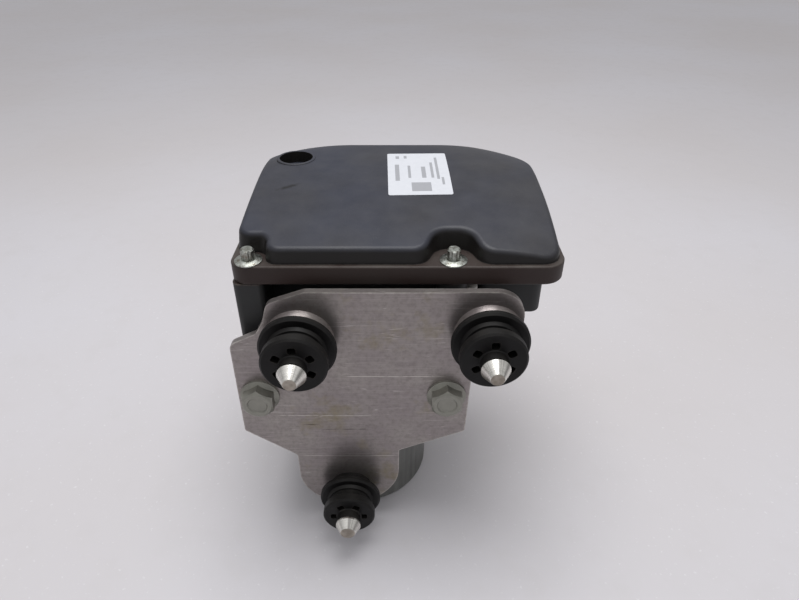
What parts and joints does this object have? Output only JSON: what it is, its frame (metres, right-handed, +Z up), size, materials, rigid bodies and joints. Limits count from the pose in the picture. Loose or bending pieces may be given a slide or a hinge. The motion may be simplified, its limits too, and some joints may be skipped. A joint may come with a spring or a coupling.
{
  "type": "anti-lock brake hydraulic unit",
  "caption": "Anti-lock brake unit: drilled valve block between a pump motor and an electronics housing, on a sheet bracket with rubber mounts and cone-tipped pins.",
  "frame": {"origin": "on the motor axis, at the closed end of the motor, on which the unit stands", "axes": "+Z up along the motor axis towards the electronics; the bracket and its mounts face -Y"},
  "size_m": [0.1367, 0.1397, 0.1595],
  "materials": {
    "block_aluminium": "machined",
    "bracket_steel": "rolled sheet, dull zinc",
    "bolt_steel": "dull grey-green plating",
    "mount_rubber": "matte moulded",
    "bright_steel": "turned bright",
    "housing_plastic": "moulded, dark brown-grey",
    "cover_plastic": "satin black",
    "zinc_screw": "bright zinc",
    "seal_rubber": "matte",
    "board_laminate": "lacquered laminate",
    "tinned_brass": "tinned",
    "coil_wrap": "moulded over copper wire",
    "can_steel": "dark grey satin",
    "ferrite": "sintered ferrite",
    "core_steel": "soft iron",
    "winding_copper": "lacquered copper",
    "carbon": "pressed carbon",
    "spring_steel": "wire",
    "valve_steel": "turned"
  },
  "bodies": {
    "unit": {"hydraulic_block": "block_aluminium", "bracket": "bracket_steel", "bracket_bolts": "bolt_steel", "grommet_left": "mount_rubber", "grommet_right": "mount_rubber", "grommet_bottom": "mount_rubber", "mounting_pin_left": "bright_steel", "mounting_pin_right": "bright_steel", "mounting_pin_bottom": "bright_steel", "ecu_housing": "housing_plastic", "ecu_cover": "cover_plastic", "ecu_screws": "zinc_screw", "cover_seal": "seal_rubber", "housing_seal": "seal_rubber", "circuit_board": "board_laminate", "connector_pins": "tinned_brass", "locating_pin": "bright_steel", "valve_coils": "coil_wrap", "motor_can": "can_steel", "magnet_left": "ferrite", "magnet_right": "ferrite", "brush_plate": "housing_plastic", "motor_screws": "zinc_screw", "lower_bearing": "bright_steel", "upper_bearing": "bright_steel", "pump_plugs": "zinc_screw", "accumulator_caps": "zinc_screw", "brush_spring_left": "spring_steel", "pump_spring_left": "spring_steel", "accumulator_spring_left": "spring_steel", "brush_spring_right": "spring_steel", "pump_spring_right": "spring_steel", "accumulator_spring_right": "spring_steel", "inlet_valve_1": "valve_steel", "inlet_valve_2": "valve_steel", "inlet_valve_3": "valve_steel", "inlet_valve_4": "valve_steel", "outlet_valve_1": "valve_steel", "outlet_valve_2": "valve_steel", "outlet_valve_3": "valve_steel", "outlet_valve_4": "valve_steel"},
    "rotor": {"motor_shaft": "bright_steel", "armature_core": "core_steel", "windings": "winding_copper", "commutator": "winding_copper"},
    "drive_ring": {"eccentric_ring": "bright_steel"},
    "left_brush": {"brush_left": "carbon"},
    "left_pump_piston": {"pump_piston_left": "bright_steel"},
    "left_accumulator_piston": {"accumulator_piston_left": "block_aluminium"},
    "right_brush": {"brush_right": "carbon"},
    "right_pump_piston": {"pump_piston_right": "bright_steel"},
    "right_accumulator_piston": {"accumulator_piston_right": "block_aluminium"},
    "inlet_plunger_1_body": {"inlet_plunger_1": "core_steel"},
    "inlet_plunger_2_body": {"inlet_plunger_2": "core_steel"},
    "inlet_plunger_3_body": {"inlet_plunger_3": "core_steel"},
    "inlet_plunger_4_body": {"inlet_plunger_4": "core_steel"},
    "outlet_plunger_1_body": {"outlet_plunger_1": "core_steel"},
    "outlet_plunger_2_body": {"outlet_plunger_2": "core_steel"},
    "outlet_plunger_3_body": {"outlet_plunger_3": "core_steel"},
    "outlet_plunger_4_body": {"outlet_plunger_4": "core_steel"}
  },
  "joints": [
    {"name": "rotor_spin", "type": "hinge", "parent": "unit", "child": "rotor", "pos_m": [0, 0, 0], "axis": [0, 0, 1], "continuous": true},
    {"name": "drive_ring_spin", "type": "hinge", "parent": "rotor", "child": "drive_ring", "pos_m": [0, 0.0006, 0.075], "axis": [0, 0, 1], "continuous": true},
    {"name": "brush_left_slide", "type": "slide", "parent": "unit", "child": "left_brush", "axis": [-1, 0, 0], "range_m": [0, 0.004], "stiffness_N_per_m": 100, "springref_m": -0.004, "deforming": ["brush_spring_left"]},
    {"name": "pump_piston_left_slide", "type": "slide", "parent": "unit", "child": "left_pump_piston", "axis": [-1, 0, 0], "range_m": [0, 0.0012], "stiffness_N_per_m": 300, "springref_m": -0.003, "deforming": ["pump_spring_left"]},
    {"name": "accumulator_piston_left_slide", "type": "slide", "parent": "unit", "child": "left_accumulator_piston", "axis": [0, 0, -1], "range_m": [0, 0.007], "stiffness_N_per_m": 200, "springref_m": -0.004, "deforming": ["accumulator_spring_left"]},
    {"name": "brush_right_slide", "type": "slide", "parent": "unit", "child": "right_brush", "axis": [1, 0, 0], "range_m": [0, 0.004], "stiffness_N_per_m": 100, "springref_m": -0.004, "deforming": ["brush_spring_right"]},
    {"name": "pump_piston_right_slide", "type": "slide", "parent": "unit", "child": "right_pump_piston", "axis": [1, 0, 0], "range_m": [0, 0.0012], "stiffness_N_per_m": 300, "springref_m": -0.003, "deforming": ["pump_spring_right"]},
    {"name": "accumulator_piston_right_slide", "type": "slide", "parent": "unit", "child": "right_accumulator_piston", "axis": [0, 0, -1], "range_m": [0, 0.007], "stiffness_N_per_m": 200, "springref_m": -0.004, "deforming": ["accumulator_spring_right"]},
    {"name": "inlet_plunger_1_slide", "type": "slide", "parent": "unit", "child": "inlet_plunger_1_body", "axis": [0, 0, -1], "range_m": [0, 0.00025], "stiffness_N_per_m": 200, "springref_m": -0.001},
    {"name": "inlet_plunger_2_slide", "type": "slide", "parent": "unit", "child": "inlet_plunger_2_body", "axis": [0, 0, -1], "range_m": [0, 0.00025], "stiffness_N_per_m": 200, "springref_m": -0.001},
    {"name": "inlet_plunger_3_slide", "type": "slide", "parent": "unit", "child": "inlet_plunger_3_body", "axis": [0, 0, -1], "range_m": [0, 0.00025], "stiffness_N_per_m": 200, "springref_m": -0.001},
    {"name": "inlet_plunger_4_slide", "type": "slide", "parent": "unit", "child": "inlet_plunger_4_body", "axis": [0, 0, -1], "range_m": [0, 0.00025], "stiffness_N_per_m": 200, "springref_m": -0.001},
    {"name": "outlet_plunger_1_slide", "type": "slide", "parent": "unit", "child": "outlet_plunger_1_body", "axis": [0, 0, 1], "range_m": [0, 0.00025], "stiffness_N_per_m": 200, "springref_m": -0.001},
    {"name": "outlet_plunger_2_slide", "type": "slide", "parent": "unit", "child": "outlet_plunger_2_body", "axis": [0, 0, 1], "range_m": [0, 0.00025], "stiffness_N_per_m": 200, "springref_m": -0.001},
    {"name": "outlet_plunger_3_slide", "type": "slide", "parent": "unit", "child": "outlet_plunger_3_body", "axis": [0, 0, 1], "range_m": [0, 0.00025], "stiffness_N_per_m": 200, "springref_m": -0.001},
    {"name": "outlet_plunger_4_slide", "type": "slide", "parent": "unit", "child": "outlet_plunger_4_body", "axis": [0, 0, 1], "range_m": [0, 0.00025], "stiffness_N_per_m": 200, "springref_m": -0.001}
  ],
  "couplings": [
    {"joint": "drive_ring_spin", "follows": "rotor_spin", "ratio": -1}
  ]
}
